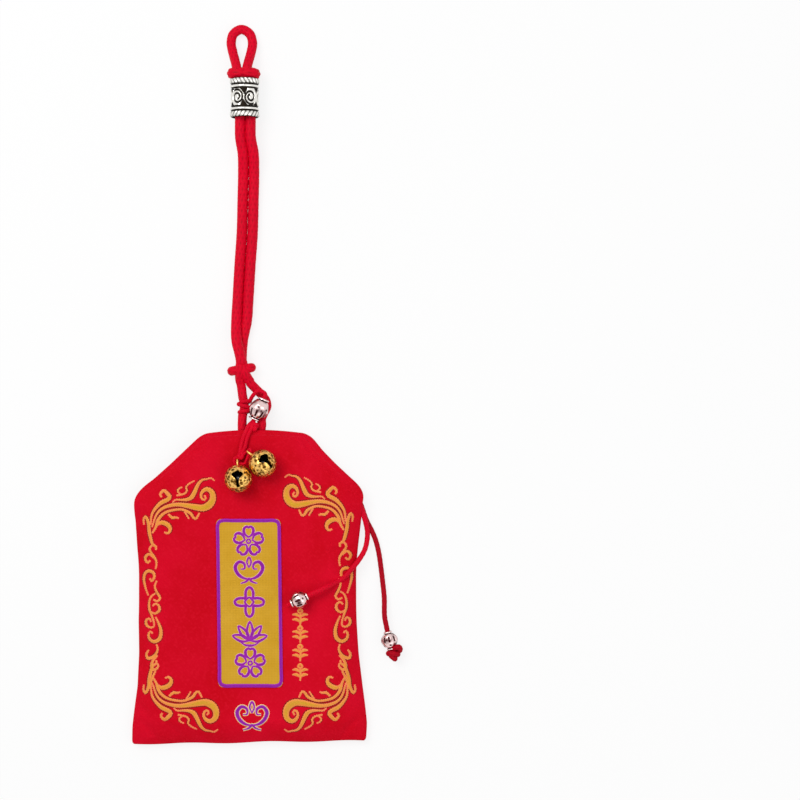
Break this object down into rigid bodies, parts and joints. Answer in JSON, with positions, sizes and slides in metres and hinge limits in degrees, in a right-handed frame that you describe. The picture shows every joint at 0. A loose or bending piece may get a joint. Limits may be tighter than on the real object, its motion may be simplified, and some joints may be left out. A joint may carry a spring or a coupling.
{
  "type": "amulet pouch",
  "caption": "Flat cloth amulet pouch lying on its back, with a drawstring, silver beads, a braided hanging strap with a barrel bead, and a charm of gilt jingle bells.",
  "frame": {"origin": "on the surface that the pouch lies on, under the middle of the pouch", "axes": "+X to the right across the pouch, +Y from its bottom seam to its mouth and on to the hanging loop, +Z out of its front"},
  "size_m": [0.0803, 0.2187, 0.0145],
  "materials": {
    "brocade": "satin-faced brocade",
    "label_cloth": "woven metallic thread",
    "paper": "plain paper wrap",
    "thin_cord": "braided polyester",
    "strap_cord": "braided polyester",
    "silver": "antique silver plate",
    "gilt": "hammered gilt",
    "steel": "plain"
  },
  "bodies": {
    "pouch": {"back_panel": "brocade", "front_panel": "brocade", "front_label": "label_cloth", "drawstring_cased": "thin_cord", "drawstring_front_tail": "thin_cord", "front_tail_knot": "thin_cord", "strap_left_end": "strap_cord", "strap_right_end": "strap_cord", "charm_cord_front": "thin_cord", "charm_knot": "thin_cord", "charm_loop": "thin_cord"},
    "card": {"amulet_card": "paper"},
    "front_bead": {"front_tail_bead": "silver"},
    "side_tail": {"drawstring_side_tail": "thin_cord", "side_tail_knot": "thin_cord"},
    "side_bead": {"side_tail_bead": "silver"},
    "strap_base": {"strap_left_lower": "strap_cord", "strap_right_lower": "strap_cord", "lower_knot": "strap_cord", "charm_hitch": "thin_cord", "charm_cord_upper": "thin_cord", "charm_bead": "silver"},
    "strap": {"strap_left_strand": "strap_cord", "strap_right_strand": "strap_cord", "top_knot": "strap_cord", "hanging_loop": "strap_cord"},
    "barrel": {"barrel_bead": "silver"},
    "left_bell": {"left_bell_shell": "gilt", "left_bell_loop": "gilt"},
    "right_bell": {"right_bell_shell": "gilt", "right_bell_loop": "gilt"},
    "left_pellet": {"left_bell_pellet": "steel"},
    "right_pellet": {"right_bell_pellet": "steel"}
  },
  "joints": [
    {"name": "card_slide", "type": "slide", "parent": "pouch", "child": "card", "axis": [0, 1, 0], "range_m": [0, 0.028]},
    {"name": "front_bead_slide", "type": "slide", "parent": "pouch", "child": "front_bead", "axis": [0.9063, 0.4226, 0], "range_m": [0, 0.003]},
    {"name": "side_tail_swing", "type": "hinge", "parent": "pouch", "child": "side_tail", "pos_m": [0.03553, 0.0272, 0.0021], "axis": [0, 0, 1], "range_deg": [0, 70]},
    {"name": "side_bead_slide", "type": "slide", "parent": "side_tail", "child": "side_bead", "axis": [-0.2079, 0.9781, 0], "range_m": [0, 0.004]},
    {"name": "strap_lift", "type": "hinge", "parent": "pouch", "child": "strap_base", "pos_m": [0, 0.0497, 0.0035], "axis": [1, 0, 0], "range_deg": [0, 55]},
    {"name": "strap_swing", "type": "hinge", "parent": "strap_base", "child": "strap", "pos_m": [-0.0032, 0.0699, 0.0032], "axis": [0, 0, 1], "range_deg": [-45, 45]},
    {"name": "barrel_slide", "type": "slide", "parent": "strap", "child": "barrel", "axis": [0, -1, 0], "range_m": [0, 0.005]},
    {"name": "left_bell_swing", "type": "hinge", "parent": "pouch", "child": "left_bell", "pos_m": [-0.00435, 0.03813, 0.00829], "axis": [0, 0, -1], "range_deg": [0, 35]},
    {"name": "right_bell_swing", "type": "hinge", "parent": "pouch", "child": "right_bell", "pos_m": [-0.00041, 0.04084, 0.00912], "axis": [0, 0, 1], "range_deg": [0, 25]},
    {"name": "left_pellet_shake", "type": "slide", "parent": "left_bell", "child": "left_pellet", "axis": [0, 0, 1], "range_m": [0, 0.003]},
    {"name": "right_pellet_shake", "type": "slide", "parent": "right_bell", "child": "right_pellet", "axis": [0, 0, 1], "range_m": [0, 0.003]}
  ]
}
